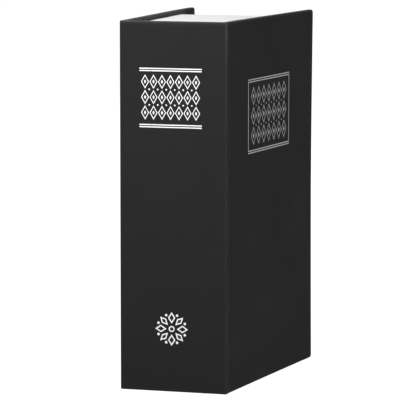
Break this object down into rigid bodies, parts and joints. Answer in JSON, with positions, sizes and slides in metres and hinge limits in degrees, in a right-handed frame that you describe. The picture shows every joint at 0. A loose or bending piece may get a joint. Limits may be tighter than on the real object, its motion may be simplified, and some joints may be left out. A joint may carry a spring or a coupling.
{
  "type": "book diversion safe",
  "caption": "Small hardback book whose front cover hides a steel box with a hinged lid and a cam lock, set in a moulded white page block.",
  "frame": {"origin": "middle of the spine's foot, on the surface that the standing book rests on", "axes": "+Z from tail to head, +Y from the spine toward the fore-edge, +X from the back cover toward the front cover"},
  "size_m": [0.0662, 0.1151, 0.18],
  "materials": {
    "covering_paper": "black fine-grained covering paper, satin",
    "grey_board": "raw grey binder's board",
    "endpaper": "matt black endpaper",
    "joint_cloth": "black joint cloth",
    "page_plastic": "white moulded plastic with fine page lines",
    "box_paint": "black powder coat on sheet steel",
    "leaf_steel": "black lacquered sheet steel",
    "bright_steel": "zinc-plated steel",
    "lock_chrome": "polished nickel-chrome plate",
    "wafer_brass": "stamped brass"
  },
  "bodies": {
    "case_and_box": {"back_covering": "covering_paper", "back_board": "grey_board", "back_pastedown": "endpaper", "spine_covering": "covering_paper", "spine_board": "grey_board", "spine_lining": "endpaper", "page_frame": "page_plastic", "box_shell": "box_paint", "box_hinge_leaf": "leaf_steel", "hinge_pin": "bright_steel", "box_rivet_1": "bright_steel", "box_rivet_2": "bright_steel", "box_rivet_3": "bright_steel"},
    "front_joint": {"front_joint_covering": "covering_paper", "front_joint_lining": "joint_cloth"},
    "front_cover": {"front_covering": "covering_paper", "front_board": "grey_board", "front_pastedown": "endpaper"},
    "lid": {"lid_panel": "box_paint", "lid_hinge_leaf": "leaf_steel", "lid_rivet_1": "box_paint", "lid_rivet_2": "box_paint", "lid_rivet_3": "box_paint", "lock_body": "lock_chrome", "lock_nut": "bright_steel"},
    "lock": {"lock_plug": "lock_chrome", "lock_wafer_1": "wafer_brass", "lock_wafer_2": "wafer_brass", "lock_wafer_3": "wafer_brass", "lock_wafer_4": "wafer_brass", "lock_cam": "bright_steel", "cam_washer": "bright_steel", "cam_screw": "bright_steel"}
  },
  "joints": [
    {"name": "cover_hinge", "type": "hinge", "parent": "case_and_box", "child": "front_joint", "pos_m": [0.027, -0.00135, 0.09], "axis": [0, 0, -1], "range_deg": [0, 170]},
    {"name": "cover_press", "type": "hinge", "parent": "front_joint", "child": "front_cover", "pos_m": [0.027, 0.00265, 0.09], "axis": [0, 0, -1], "range_deg": [-6.36, 0], "stiffness_Nm_per_rad": 0.15},
    {"name": "lid_hinge", "type": "hinge", "parent": "case_and_box", "child": "lid", "pos_m": [0.0211, 0.0101, 0.09], "axis": [0, 0, -1], "range_deg": [0, 102]},
    {"name": "lock_turn", "type": "hinge", "parent": "lid", "child": "lock", "pos_m": [0.021, 0.06808, 0.09], "axis": [1, 0, 0], "range_deg": [0, 90]}
  ],
  "couplings": [
    {"joint": "lid_hinge", "follows": "cover_hinge", "ratio": 0.6}
  ]
}
